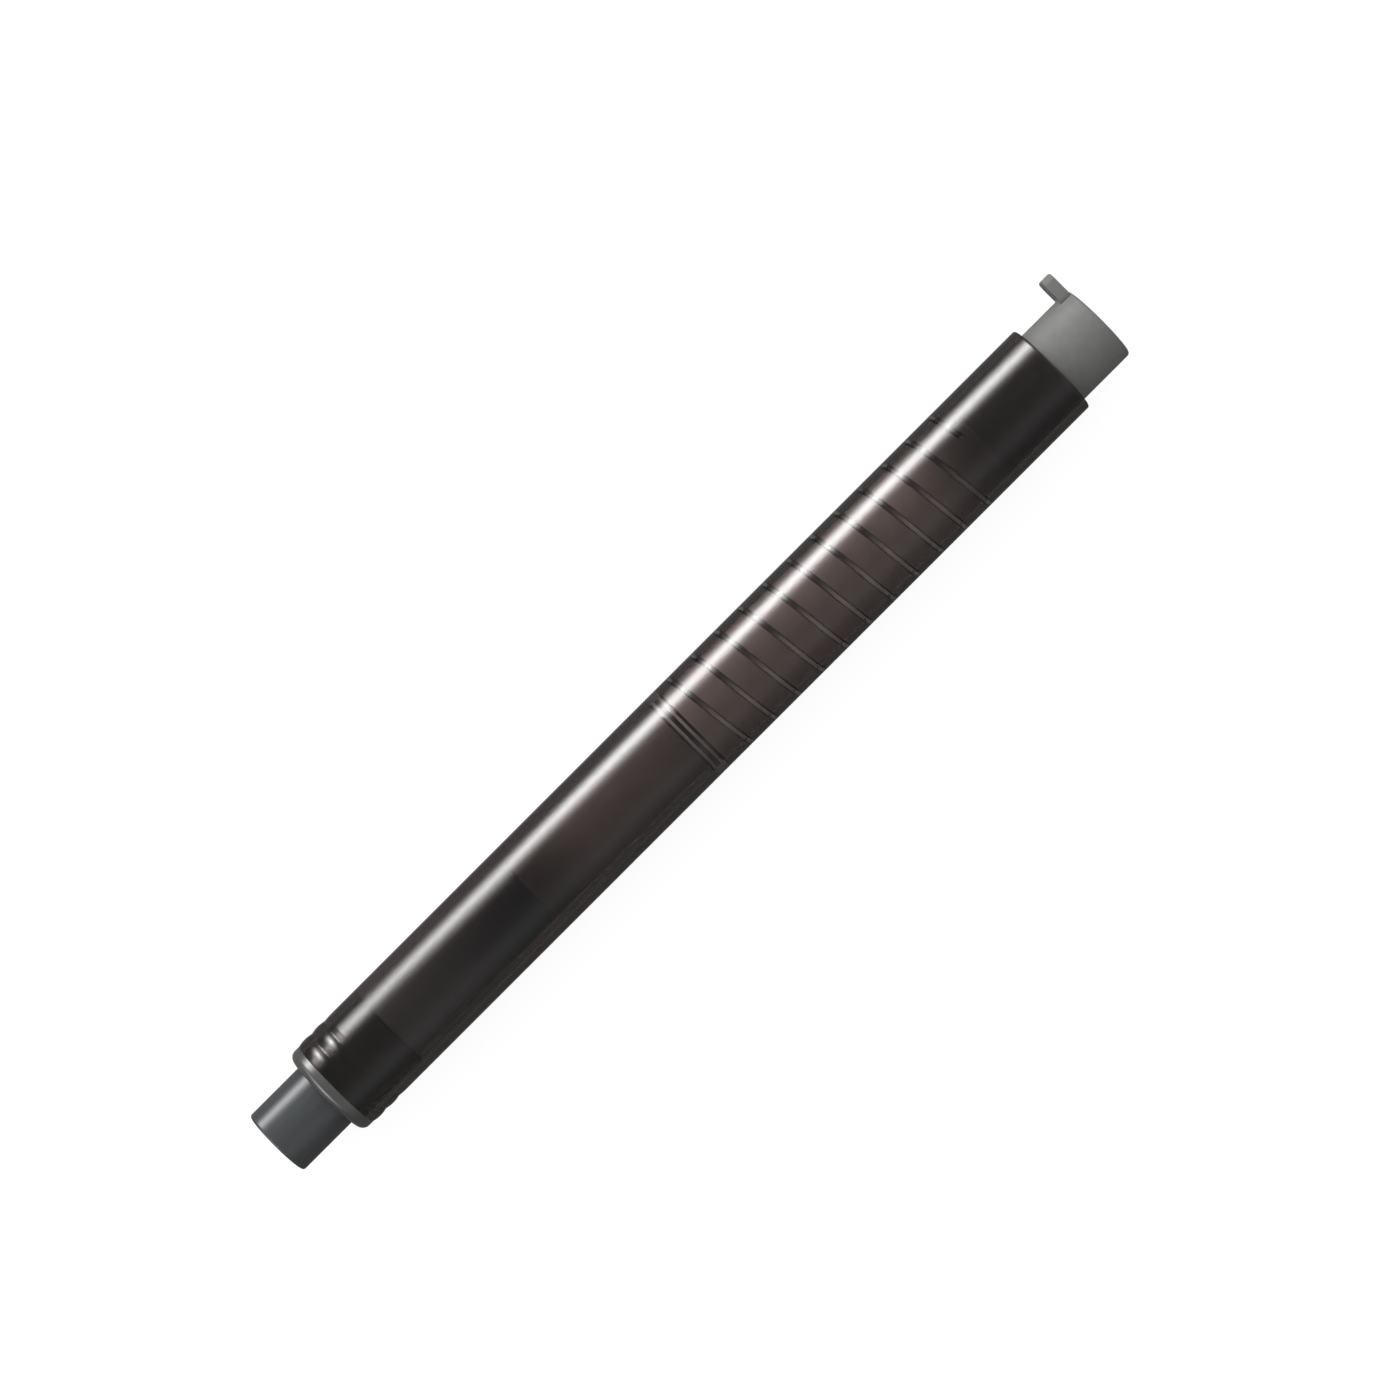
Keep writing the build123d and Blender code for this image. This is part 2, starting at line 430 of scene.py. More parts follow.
@dataclass
class Piece:
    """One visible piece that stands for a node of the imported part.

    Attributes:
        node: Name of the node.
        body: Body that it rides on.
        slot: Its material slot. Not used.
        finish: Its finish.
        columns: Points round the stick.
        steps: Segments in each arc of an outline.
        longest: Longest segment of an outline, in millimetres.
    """

    node: str
    body: Body
    slot: Slot
    finish: "Finishes"
    columns: int = 144
    steps: int = 6
    longest: float = 2.0

    def outline(self, corners: list[Corner]) -> np.ndarray:
        """Line through the corners, with arcs and with points beside them."""
        return densified(rounded(corners, self.steps), self.longest)

    def mesh(self) -> MeshData:
        """Shape of the piece. Each kind of piece has its own."""
        raise NotImplementedError

    def make(self, materials: dict["Finishes", bpy.types.Material]) -> bpy.types.Object:
        """Builds the object, gives it its material and lets it ride on its body.

        Args:
            materials: Material of each finish.

        Returns:
            The finished object.
        """
        obj = self.mesh().build(f"{self.node}_skin")
        obj.data.materials.append(materials[self.finish])
        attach(obj, self.body.value)
        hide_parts(self.node)
        LOG.info("%s: %d polygons", obj.name, len(obj.data.polygons))
        return obj


@dataclass
class Barrel(Piece):
    """Smoke tube: rounded rims, two beads on a neck, snap groove and helical thread groove."""

    rim_round: float = 0.20
    bore_chamfer: float = 0.12
    bead_length: float = 1.5
    bead_height: float = 0.10
    bead_gap: float = 0.10
    ramp_length: float = 0.65
    ramp_round: float = 0.25
    bead_steps: int = 14
    snap_length: float = 1.34
    snap_depth: float = 0.15
    run_out_turns: float = 0.70
    thread_turns: float = 11.35
    thread_margin: float = 0.6
    wall_blend: float = 0.035
    flank: tuple[tuple[float, float], ...] = ((-2.2, 1.0), (-1.0, 0.86), (0.0, 0.14), (1.0, 0.0), (6.0, 0.0))
    land_point: float = 0.95
    end_fade: float = 0.07
    spare_turns: int = 2
    longest: float = 4.0

    def bead(self, front: float) -> np.ndarray:
        """Arc of one bead, from its front end to its rear end.

        The radius rises from the neck by bead_height * (1 - t * t), with t from 1 to -1.

        Args:
            front: Place of the front end.

        Returns:
            Points of x and r.
        """
        t = np.linspace(1, -1, self.bead_steps + 1)
        x = front - self.bead_length * (1 - t) / 2
        return np.stack([x, SIZES.neck_radius + self.bead_height * (1 - t * t)], -1)

    def outside(self) -> np.ndarray:
        """Outline from the thread's rear end round both rims to its front end.

        Returns:
            Points of x and r.
        """
        s, chamfer, depth = SIZES, self.bore_chamfer, self.snap_depth
        rear_bead_front = s.barrel_front - self.bead_length - self.bead_gap
        ramp_rear = rear_bead_front - self.bead_length - self.ramp_length
        rear = rounded(
            [
                (self.thread_zone[0], s.bore_radius, 0),
                (s.knob_grip_length + chamfer, s.bore_radius, EDGES.chamfer),
                (s.knob_grip_length, s.bore_radius + chamfer, EDGES.chamfer),
                (s.knob_grip_length, s.barrel_radius, self.rim_round),
                (ramp_rear, s.barrel_radius, self.ramp_round),
                (rear_bead_front - self.bead_length, s.neck_radius, 0),
            ]
        )
        beads = np.vstack([self.bead(s.barrel_front), self.bead(rear_bead_front)])[::-1]
        snap_rear = s.sleeve_front - self.snap_length
        front = rounded(
            [
                (s.barrel_front, s.neck_radius, 0),
                (s.barrel_front, s.bore_radius, EDGES.plain),
                (s.sleeve_front, s.bore_radius, EDGES.bore),
                (s.sleeve_front, s.bore_radius + depth, EDGES.plain),
                (snap_rear, s.bore_radius + depth, EDGES.plain),
                (snap_rear, s.bore_radius, EDGES.bore),
                (self.thread_zone[1], s.bore_radius, 0),
            ]
        )
        return densified(np.vstack([rear[:-1], beads, front[1:]]), self.longest)

    @property
    def thread_rear(self) -> float:
        """Place where the groove's middle starts."""
        return SIZES.rear_lug - self.run_out_turns * SIZES.thread_lead

    @property
    def thread_zone(self) -> tuple[float, float]:
        """Ends of the stretch of bore that carries the groove."""
        length = self.thread_turns * SIZES.thread_lead
        return self.thread_rear - self.thread_margin, self.thread_rear + length + self.thread_margin

    def thread(self, mesh: MeshData) -> None:
        """Adds the bore with its groove as a grid whose rows run along the helix.

        A row lies at x = start + lead * (winding + angle / full turn) + offset from the groove's
        middle. Its radius is the bore's plus the depth that belongs to the offset. Rows are cut
        off at both ends of the zone. One full turn later a row meets the row one lead further on.
        The groove's flank is a list of points, each with its distance from the groove's edge in
        blends and its share of the depth.

        Args:
            mesh: Mesh to add to.
        """
        s = SIZES
        half, blend = s.thread_width / 2, self.wall_blend
        away, share = np.array(self.flank).T
        side = np.append(half + away * blend, self.land_point)
        deep = np.append(share, 0.0) * s.thread_depth
        offset = np.concatenate([-side[::-1], [0.0], side])
        depth = np.concatenate([deep[::-1], [s.thread_depth], deep])
        per_lead = len(offset)
        start_angle = -self.run_out_turns * FULL_TURN
        origin = self.thread_rear - s.thread_lead * (start_angle / FULL_TURN % 1.0)
        low, high = self.thread_zone
        first = math.floor((low - origin) / s.thread_lead) - self.spare_turns
        last = math.ceil((high - origin) / s.thread_lead) + self.spare_turns
        winding = np.repeat(np.arange(first, last), per_lead)
        angle = np.arange(self.columns) * FULL_TURN / self.columns
        middle = origin + s.thread_lead * (winding[:, None] + angle[None, :] / FULL_TURN)
        x = middle + np.tile(offset, last - first)[:, None]
        begun = (middle - self.thread_rear) / self.end_fade + 0.5
        left = (self.thread_rear + self.thread_turns * s.thread_lead - middle) / self.end_fade + 0.5
        share = np.clip(np.minimum(begun, left), 0, 1)
        radius = s.bore_radius + np.tile(depth, last - first)[:, None] * share
        inside = (x > low) & (x < high)
        radius = np.where(inside, radius, s.bore_radius)
        points = around(np.clip(x, low, high), radius, angle[None, :])
        rows, columns = x.shape
        i, j = np.meshgrid(np.arange(rows - 1 - per_lead), np.arange(columns), indexing="ij")
        right = np.where(j + 1 < columns, i * columns + j + 1, (i + per_lead) * columns)
        here = i * columns + j
        quads = np.stack([here, here + columns, right + columns, right], -1).reshape(-1, 4)
        place = points[quads]
        cross = np.cross(place[:, 2] - place[:, 0], place[:, 3] - place[:, 1])
        used, compact = np.unique(quads[np.linalg.norm(cross, axis=1) > SLIVER_MM2], return_inverse=True)
        mesh.add(points[used], compact.reshape(-1, 4))

    def mesh(self) -> MeshData:
        """Outer skin and threaded bore as one closed surface.

        Returns:
            The mesh.
        """
        mesh = MeshData()
        revolve(mesh, self.outside(), self.columns)
        self.thread(mesh)
        return mesh


@dataclass
class NoseGuide(Piece):
    """Flanged bush whose rounded flange is the lip of the stick."""

    flange_round: float = 0.75
    guide_length: float = 7.0
    mouth_round: float = 0.14
    chamfer: float = 0.20
    shoulder_round: float = 0.06
    steps: int = 10
    longest: float = 1.5

    def mesh(self) -> MeshData:
        """Closed outline turned about the axis.

        Returns:
            The mesh.
        """
        s = SIZES
        spigot, hole = s.bore_radius - s.seat_clearance, s.eraser_radius + s.eraser_clearance
        rear = s.barrel_front - self.guide_length
        middle = (rear + s.nose_face) / 2
        line = self.outline(
            [
                (middle, hole, 0),
                (rear + self.chamfer, hole, EDGES.plain),
                (rear, hole + self.chamfer, EDGES.plain),
                (rear, spigot - self.chamfer, EDGES.plain),
                (rear + self.chamfer, spigot, EDGES.plain),
                (s.barrel_front, spigot, 0),
                (s.barrel_front, s.neck_radius, self.shoulder_round),
                (s.nose_face, s.neck_radius, self.flange_round),
                (s.nose_face, hole, self.mouth_round),
                (middle, hole, 0),
            ]
        )
        mesh = MeshData()
        revolve(mesh, line, self.columns)
        return mesh


@dataclass
class Eraser(Piece):
    """Round eraser with a softened edge and the blind hole for the rod's plug."""

    edge_round: float = 0.24
    hole_radius: float = 1.52
    hole_length: float = 4.8
    face_sag: float = 0.03
    steps: int = 8
    longest: float = 0.8

    def mesh(self) -> MeshData:
        """Outline from the tip's centre over the edge and back into the hole, turned about the axis.

        Returns:
            The mesh.
        """
        s, hole = SIZES, self.hole_radius
        line = self.outline(
            [
                (s.eraser_front - self.face_sag, 0, 0),
                (s.eraser_front, s.eraser_radius, self.edge_round),
                (s.eraser_rear, s.eraser_radius, EDGES.free),
                (s.eraser_rear, hole, EDGES.plain),
                (s.eraser_rear + self.hole_length, hole, EDGES.free),
                (s.eraser_rear + self.hole_length, 0, 0),
            ]
        )
        mesh = MeshData()
        revolve(mesh, line, self.columns)
        return mesh


@dataclass
class FeedRod(Piece):
    """Hollow rod with a barbed plug in front and two lugs on sprung legs behind."""

    wall: float = 0.80
    front_wall: float = 1.2
    plug_radius: float = 1.3
    plug_length: float = 4.5
    barbs: int = 3
    barb_height: float = 0.20
    slit_width: float = 0.5
    slit_length: float = 8.0
    lug_width: float = 1.2
    lug_corner: float = 0.12
    lug_edge: float = 0.05

    def lug(self, mesh: MeshData, side: int, place: float) -> None:
        """Adds one lug, tilted to lie along the thread.

        The tangent of the tilt is the lead over the way round at the lug's top.

        Args:
            mesh: Mesh to add to.
            side: 1 for the +Y side and -1 for the -Y side.
            place: Place along the stick.
        """
        s = SIZES
        corner = s.bore_radius + s.thread_depth - s.thread_clearance
        top = math.sqrt(corner**2 - (self.lug_width / 2) ** 2)
        tilt = math.atan(s.thread_lead / (FULL_TURN * top))
        half = (top - s.eraser_radius + self.wall / 2) / 2
        thickness = s.thread_width - 2 * s.thread_clearance
        lie = Matrix(((0, 0, 1, 0), (0, 1, 0, 0), (-1, 0, 0, 0), (0, 0, 0, 1)))
        move = Matrix.Translation((place, side * (top - half), 0))
        put = move @ Matrix.Rotation(side * tilt, 4, "Y") @ lie
        plate(mesh, self.lug_width / 2, half, thickness, self.lug_corner, self.lug_edge, put)

    def mesh(self) -> MeshData:
        """Rod with its plug and bore, legs and lugs.

        Returns:
            The mesh.
        """
        s = SIZES
        radius, bore = s.eraser_radius, s.eraser_radius - self.wall
        legs_front = s.rod_rear + self.slit_length
        corners = [(legs_front, bore, 0), (legs_front, radius, 0)]
        corners.append((s.eraser_rear, radius, EDGES.shoulder))
        corners.append((s.eraser_rear, self.plug_radius + self.barb_height, 0))
        step = self.plug_length / self.barbs
        for barb in range(self.barbs):
            tip = s.eraser_rear + (barb + 1) * step
            corners.append((tip, self.plug_radius, 0))
            if barb + 1 < self.barbs:
                corners.append((tip, self.plug_radius + self.barb_height, 0))
        corners.append((s.eraser_rear + self.plug_length, 0, 0))
        mesh = MeshData()
        revolve(mesh, self.outline(corners), self.columns)
        inner_end = s.eraser_rear - self.front_wall
        inner = self.outline([(inner_end, 0, 0), (inner_end, bore, EDGES.free), (legs_front, bore, 0)])
        revolve(mesh, inner, self.columns)
        half_slit = math.asin(self.slit_width / 2 / radius)
        legs = self.outline(
            [
                (legs_front, bore, 0),
                (legs_front, radius, 0),
                (s.rod_rear, radius, EDGES.free),
                (s.rod_rear, bore, EDGES.free),
                (legs_front, bore, 0),
            ]
        )[:-1]
        for middle in (0.0, math.pi):
            start = middle - math.pi / 2 + half_slit
            sector(mesh, legs, start, middle + math.pi / 2 - half_slit, self.columns // 2)
        self.lug(mesh, 1, s.rear_lug)
        self.lug(mesh, -1, s.rear_lug + s.thread_lead / 2)
        return mesh


@dataclass
class DriveSleeve(Piece):
    """Slotted tube that turns in the bore, with a collar and two snap ridges in front."""

    ridge_length: float = 0.40
    ridge_gap: float = 0.30
    ridge_height: float = 0.12
    ridge_setback: float = 0.12
    ridges: int = 2
    collar_longest: float = 1.0

    def mesh(self) -> MeshData:
        """Collar as a full turn and two shells that leave the slots between them.

        Returns:
            The mesh.
        """
        s = SIZES
        inner, outer = s.sleeve_bore_radius, s.sleeve_radius
        corners = [(s.slot_front, inner, 0), (s.sleeve_front, inner, EDGES.plain)]
        corners.append((s.sleeve_front, outer, EDGES.bore))
        for ridge in range(self.ridges):
            front = s.sleeve_front - self.ridge_setback - ridge * (self.ridge_length + self.ridge_gap)
            corners.append((front, outer, EDGES.foot))
            corners.append((front - self.ridge_length / 2, outer + self.ridge_height, EDGES.shoulder))
            corners.append((front - self.ridge_length, outer, EDGES.foot))
        corners += [(s.slot_front, outer, 0), (s.slot_front, inner, 0)]
        mesh = MeshData()
        revolve(mesh, densified(rounded(corners), self.collar_longest), self.columns)
        shell = self.outline(
            [
                (s.slot_front, inner, 0),
                (s.slot_front, outer, 0),
                (s.knob_shoulder, outer, EDGES.plain),
                (s.knob_shoulder, inner, EDGES.plain),
                (s.slot_front, inner, 0),
            ]
        )[:-1]
        half_slot = math.asin(s.sleeve_slot_width / 2 / outer)
        for start in (0.0, math.pi):
            sector(mesh, shell, start + half_slot, start + math.pi - half_slot, self.columns // 2)
        return mesh


@dataclass
class TailKnob(Piece):
    """Matt knob with its journal, keyed spigot and drive tab."""

    edge_round: float = 0.30
    tab_setback: float = 0.15
    tab_thickness: float = 1.15
    tab_width: float = 4.0
    tab_height: float = 2.2
    tab_corner: float = 0.8
    tab_edge: float = 0.18
    tab_steps: tuple[int, int] = (12, 6)
    tab_root: float = 0.9
    root_fillet: float = 0.24
    root_steps: int = 6
    root_columns: int = 25
    root_overlap: float = 0.05
    key_root: float = 0.3
    key_setback: float = 0.05
    key_corner: float = 0.08
    key_edge: float = 0.06
    steps: int = 8
    longest: float = 0.8

    def root(self, mesh: MeshData) -> None:
        """Adds the concave fillet between the tab's front face and the knob.

        In the plane through the axis the fillet is a quarter circle whose centre lies one fillet
        radius in front of the tab and one above the knob. It runs over the tab's width.

        Args:
            mesh: Mesh to add to.
        """
        s, fillet, overlap = SIZES, self.root_fillet, self.root_overlap
        front = self.tab_setback + self.tab_thickness
        reach = math.asin((self.tab_width / 2 - self.tab_edge) / s.knob_radius)
        turn = np.linspace(0, math.pi / 2, self.root_steps + 1)
        x = np.append(front + fillet * (1 - np.cos(turn)), [front - overlap, front - overlap])
        r = s.knob_radius + fillet * (1 - np.sin(turn))
        r = np.append(r, [s.knob_radius - overlap, s.knob_radius + fillet])
        sector(mesh, np.stack([x, r], -1), math.pi - reach, math.pi + reach, self.root_columns)

    def mesh(self) -> MeshData:
        """Knob, spigot, keys, tab and the tab's root.

        Returns:
            The mesh.
        """
        s = SIZES
        spigot = s.sleeve_bore_radius - s.seat_clearance
        front = s.knob_shoulder + s.knob_spigot_length
        line = self.outline(
            [
                (0, 0, 0),
                (0, s.knob_radius, self.edge_round),
                (s.knob_shoulder, s.knob_radius, EDGES.shoulder),
                (s.knob_shoulder, spigot, EDGES.plain),
                (front, spigot, EDGES.free),
                (front, 0, 0),
            ]
        )
        mesh = MeshData()
        revolve(mesh, line, self.columns)
        tip = s.knob_radius + self.tab_height
        base = s.knob_radius - self.tab_root
        lie = Matrix(((0, 0, 1, 0), (1, 0, 0, 0), (0, 1, 0, 0), (0, 0, 0, 1)))
        middle = self.tab_setback + self.tab_thickness / 2
        place = Matrix.Translation((middle, -(tip + base) / 2, 0)) @ lie
        half, width = (tip - base) / 2, self.tab_width / 2
        plate(mesh, half, width, self.tab_thickness, self.tab_corner, self.tab_edge, place, *self.tab_steps)
        self.root(mesh)
        half, width = (s.knob_radius - spigot + self.key_root) / 2, s.sleeve_slot_width / 2 - s.seat_clearance
        middle = s.knob_shoulder + s.knob_spigot_length / 2 - self.key_setback
        for side in (1, -1):
            place = Matrix.Translation((middle, side * (s.knob_radius - half), 0)) @ lie
            plate(mesh, half, width, s.knob_spigot_length, self.key_corner, self.key_edge, place)
        return mesh


# Materials


def linear(hex_colour: str) -> tuple[float, float, float, float]:
    """Turns an sRGB hex colour into the linear one that a shader socket takes.

    Args:
        hex_colour: Six hex digits behind a #.

    Returns:
        Red, green, blue and 1 for alpha.
    """
    value = [int(hex_colour.lstrip("#")[k : k + 2], 16) / 255 for k in (0, 2, 4)]
    red, green, blue = (v / 12.92 if v <= 0.04045 else ((v + 0.055) / 1.055) ** 2.4 for v in value)
    return red, green, blue, 1.0


def fill(node: Node, values: dict[str | int, object]) -> Node:
    """Fills a node's inputs: a socket or a node's first output is linked, a plain value is set.

    Args:
        node: The node.
        values: What each input gets, by the input's name or number.

    Returns:
        The same node.
    """
    for key, value in values.items():
        source = value.outputs[0] if isinstance(value, Node) else value
        if isinstance(source, Socket):
            node.id_data.links.new(source, node.inputs[key])
        else:
            node.inputs[key].default_value = source
    return node


def add_node(tree: Tree, kind: str, values: dict[str | int, object] | None = None, **settings) -> Node:
    """Adds a node with its settings, values and links.

    Args:
        tree: Node tree.
        kind: Blender's type name of the node, without "ShaderNode" in front.
        values: What its inputs get, as fill takes it.
        **settings: Properties of the node.

    Returns:
        The new node.
    """
    node = tree.nodes.new("ShaderNode" + kind)
    for key, value in settings.items():
        setattr(node, key, value)
    return fill(node, values or {})


def from_axis(tree: Tree, place: Socket) -> Socket:
    """Distance from the stick's axis in millimetres: the length of (0, y, z).

    Args:
        tree: Node tree of the material.
        place: Object coordinates in metres.

    Returns:
        Socket with the distance.
    """
    flat = add_node(tree, "VectorMath", {0: place, 1: (0, 1 / MM, 1 / MM)}, operation="MULTIPLY")
    return add_node(tree, "VectorMath", {0: flat}, operation="LENGTH").outputs["Value"]


def new_material(name: str) -> tuple[bpy.types.Material, Tree, Node]:
    """Makes an empty material.

    Args:
        name: Its name.

    Returns:
        The material, its node tree and its shader.
    """
    material = bpy.data.materials.new(name)
    material.use_nodes = True
    return material, material.node_tree, material.node_tree.nodes["Principled BSDF"]


@dataclass(frozen=True)
class Grain:
    """Fine relief and uneven gloss of a surface. Sizes are millimetres.

    The grain that a mould or a blade leaves is about 0.03 mm wide, too fine to show. It is drawn
    three to ten times as coarse, and stretched where the surface was drawn or polished lengthways.

    Attributes:
        size: Width of the relief's forms across the stick.
        height: Their height.
        stretch: How many times longer than wide all forms are.
        detail: Octaves of the relief.
        gloss_size: Width of the patches of even gloss.
        gloss_change: Change of the roughness, up and down.
        gloss_detail: Octaves of the gloss.
        gloss_span: Values of the noise that give the least and the most roughness.
    """

    size: float
    height: float
    stretch: float = 1.0
    detail: float = 3.0
    gloss_size: float = 2.0
    gloss_change: float = 0.06
    gloss_detail: float = 3.0
    gloss_span: tuple[float, float] = (0.3, 0.7)

    def place(self, tree: Tree, coordinates: Socket) -> Node:
        """Object coordinates in millimetres, pressed together along the stick by the stretch."""
        scale = (1 / MM / self.stretch, 1 / MM, 1 / MM)
        return add_node(tree, "Mapping", {"Vector": coordinates, "Scale": scale})

    def inputs(self, tree: Tree, place: Node, low: float, high: float) -> dict[str, Node]:
        """Adds the nodes of the uneven gloss and the relief.

        Args:
            tree: Node tree of the material.
            place: What the method place returned.
            low: Least roughness.
            high: Most roughness.

        Returns:
            Nodes that feed the shader's roughness and normal.
        """
        forms = {"Vector": place, "Scale": 1 / self.gloss_size, "Detail": self.gloss_detail}
        start, end = self.gloss_span
        rough = {"Value": add_node(tree, "TexNoise", forms), "From Min": start, "From Max": end}
        forms = {"Vector": place, "Scale": 1 / self.size, "Detail": self.detail}
        bump = {"Height": add_node(tree, "TexNoise", forms), "Strength": 1.0, "Distance": self.height * MM}
        return {
            "Roughness": add_node(tree, "MapRange", {**rough, "To Min": low, "To Max": high}),
            "Normal": add_node(tree, "Bump", bump),
        }


@dataclass(frozen=True)
class Stretch:
    """Stretch of a piece with soft ends, in millimetres.

    Attributes:
        rear: Where it starts along X.
        front: Where it ends.
        rear_fade: Length over which it comes in.
        front_fade: Length over which it goes out.
        inside: Distance from the axis up to which it lies.
    """

    rear: float
    front: float
    rear_fade: float
    front_fade: float
    inside: float = 100.0

    def share(self, tree: Tree, place: Socket) -> Node:
        """Adds nodes for a share that rises from 0 to 1 over one fade and falls over the other.

        Args:
            tree: Node tree of the material.
            place: Object coordinates in metres.

        Returns:
            Node with the share.
        """
        x = add_node(tree, "SeparateXYZ", {"Vector": place}).outputs["X"]
        share = add_node(tree, "Math", {0: from_axis(tree, place), 1: self.inside}, operation="LESS_THAN")
        for edge, fade in ((self.rear, self.rear_fade), (self.front, -self.front_fade)):
            span = {"Value": x, "From Min": edge * MM, "From Max": (edge + fade) * MM}
            rise = add_node(tree, "MapRange", span, interpolation_type="SMOOTHSTEP")
            share = add_node(tree, "Math", {0: share, 1: rise}, operation="MULTIPLY")
        return share


@dataclass(frozen=True)
class Finish:
    """Everything that makes one solid material.

    Attributes:
        colour: Main tone.
        shade: Second tone, which soft noise mixes in.
        roughness: Mean roughness.
        grain: Relief and uneven gloss.
        mottle_size: Width of the noise's forms in millimetres.
        mottle_detail: Its octaves.
        mottle_span: Values of the noise at which the second tone starts and has its full share.
        mottle: That share.
        specular: Level of the mirror reflection.
        subsurface: Share of the light that goes through the material.
        subsurface_depth: How far it goes, in millimetres.
        subsurface_colour: How far red, green and blue go, as shares of that depth.
        dark_stretches: Stretches painted in a darker colour: painted shade on the rod's front and round the
            sleeve's snap ridges, and a darker rear on the sleeve.
    """

    colour: str
    shade: str
    roughness: float
    grain: Grain
    mottle_size: float = 1.2
    mottle_detail: float = 4.0
    mottle_span: tuple[float, float] = (0.35, 0.65)
    mottle: float = 0.5
    specular: float = 0.5
    subsurface: float = 0.0
    subsurface_depth: float = 0.5
    subsurface_colour: tuple[float, float, float] = (1.0, 0.85, 0.75)
    dark_stretches: tuple[tuple[str, Stretch], ...] = ()

    def material(self, name: str) -> bpy.types.Material:
        """Makes the material: two tones by soft noise, darker stretches that are partly painted shade, uneven
        gloss and fine grain.

        Args:
            name: Name of the material.

        Returns:
            The material.
        """
        material, tree, shader = new_material(name)
        coordinates = add_node(tree, "TexCoord").outputs["Object"]
        place = self.grain.place(tree, coordinates)
        forms = {"Vector": place, "Scale": 1 / self.mottle_size, "Detail": self.mottle_detail}
        start, end = self.mottle_span
        span = {"Value": add_node(tree, "TexNoise", forms), "From Min": start, "From Max": end}
        layers = [(self.shade, add_node(tree, "MapRange", {**span, "To Max": self.mottle}))]
        # Darker stretches, partly painted shade, laid over the two tones.
        layers += [(darker_tone, stretch.share(tree, coordinates)) for darker_tone, stretch in self.dark_stretches]
        colour = linear(self.colour)
        for tint, share in layers:
            mix = add_node(tree, "Mix", {0: share, 6: colour, 7: linear(tint)}, data_type="RGBA")
            colour = mix.outputs[2]
        change = self.grain.gloss_change
        fill(shader, self.grain.inputs(tree, place, self.roughness - change, self.roughness + change))
        fill(
            shader,
            {
                "Base Color": colour,
                "Specular IOR Level": self.specular,
                "Subsurface Weight": self.subsurface,
                "Subsurface Radius": self.subsurface_colour,
                "Subsurface Scale": self.subsurface_depth * MM,
            },
        )
        return material


@dataclass(frozen=True)
class ClearFinish:
    """Tinted clear plastic: a refracting solid that absorbs light along its way.

    Attributes:
        tint: Colour that the absorption leaves.
        density: Absorption per metre.
        roughness: Least and most roughness.
        ior: Refractive index.
        groove_shade: Tone of the thread's floor towards -Y, a painted shade that draws the groove as a dark
            line.
        far_groove_shade: Tone of the thread's floor towards +Y, where the painted shade fades out.
        groove_turn: Places along Y, in bore radii, between which one tone becomes the other.
        floor_margin: How far above the thread's floor its full tone starts.
        outer_margin: How far below the floor the plain wall starts and has its full tone.
        grain: Relief and uneven gloss.
        haze: Stretch of the bore that scatters part of the light, so that it shows paler.
        haze_share: Share of the light that the haze scatters.
    """

    tint: str
    density: float
    roughness: tuple[float, float] = (0.024, 0.06)
    ior: float = 1.5
    groove_shade: float = 0.10
    far_groove_shade: float = 1.0
    groove_turn: tuple[float, float] = (-0.4, 0.35)
    floor_margin: float = 0.04
    outer_margin: tuple[float, float] = (0.06, 0.12)
    grain: Grain = Grain(0.9, 0.0001, 12.0, detail=2.0, gloss_detail=4.0)
    haze: Stretch = Stretch(71.0, 87.5, 14.0, 0.1, SIZES.bore_radius + 0.02)
    haze_share: float = 0.235

    def tone(self, tree: Tree, place: Socket) -> Node:
        """Tone of the surface by its distance from the axis: the floor of the thread gets a painted shade.

        The tone falls from 1 to groove_shade over the second half of the thread's depth, and is 1
        again from just outside the thread's floor outwards. Towards +Y the painted shade fades out.

        Args:
            tree: Node tree of the material.
            place: Object coordinates in metres.

        Returns:
            Node with the tone, from groove_shade to 1.
        """
        bore, top = SIZES.bore_radius, SIZES.bore_radius + SIZES.thread_depth
        radius = from_axis(tree, place)
        y = add_node(tree, "SeparateXYZ", {"Vector": place}).outputs["Y"]
        start, end = (share * bore * MM for share in self.groove_turn)
        span = {"Value": y, "From Min": start, "From Max": end}
        span |= {"To Min": self.groove_shade, "To Max": self.far_groove_shade}
        floor = add_node(tree, "MapRange", span, interpolation_type="SMOOTHSTEP")
        # Painted shade on the thread's floor, strongest towards -Y.
        span = {"Value": radius, "From Min": (bore + top) / 2, "From Max": top - self.floor_margin}
        groove_shading = add_node(tree, "MapRange", {**span, "To Min": 1.0, "To Max": floor})
        start, end = (top + margin for margin in self.outer_margin)
        outer = add_node(tree, "MapRange", {"Value": radius, "From Min": start, "From Max": end})
        return add_node(tree, "Math", {0: groove_shading, 1: outer}, operation="MAXIMUM")

    def material(self, name: str) -> bpy.types.Material:
        """Makes the refracting surface and its absorbing inside.

        Args:
            name: Name of the material.

        Returns:
            The material.
        """
        material, tree, shader = new_material(name)
        coordinates = add_node(tree, "TexCoord").outputs["Object"]
        place = self.grain.place(tree, coordinates)
        haze = {0: self.haze.share(tree, coordinates), 1: self.haze_share}
        haze = add_node(tree, "Math", haze, operation="MULTIPLY")
        clear = add_node(tree, "Math", {0: 1.0, 1: haze}, operation="SUBTRACT")
        fill(shader, self.grain.inputs(tree, place, *self.roughness))
        tone = self.tone(tree, coordinates)
        fill(shader, {"Base Color": tone, "Transmission Weight": clear, "IOR": self.ior})
        inside = {"Color": linear(self.tint), "Density": self.density}
        fill(tree.nodes["Material Output"], {"Volume": add_node(tree, "VolumeAbsorption", inside)})
        return material


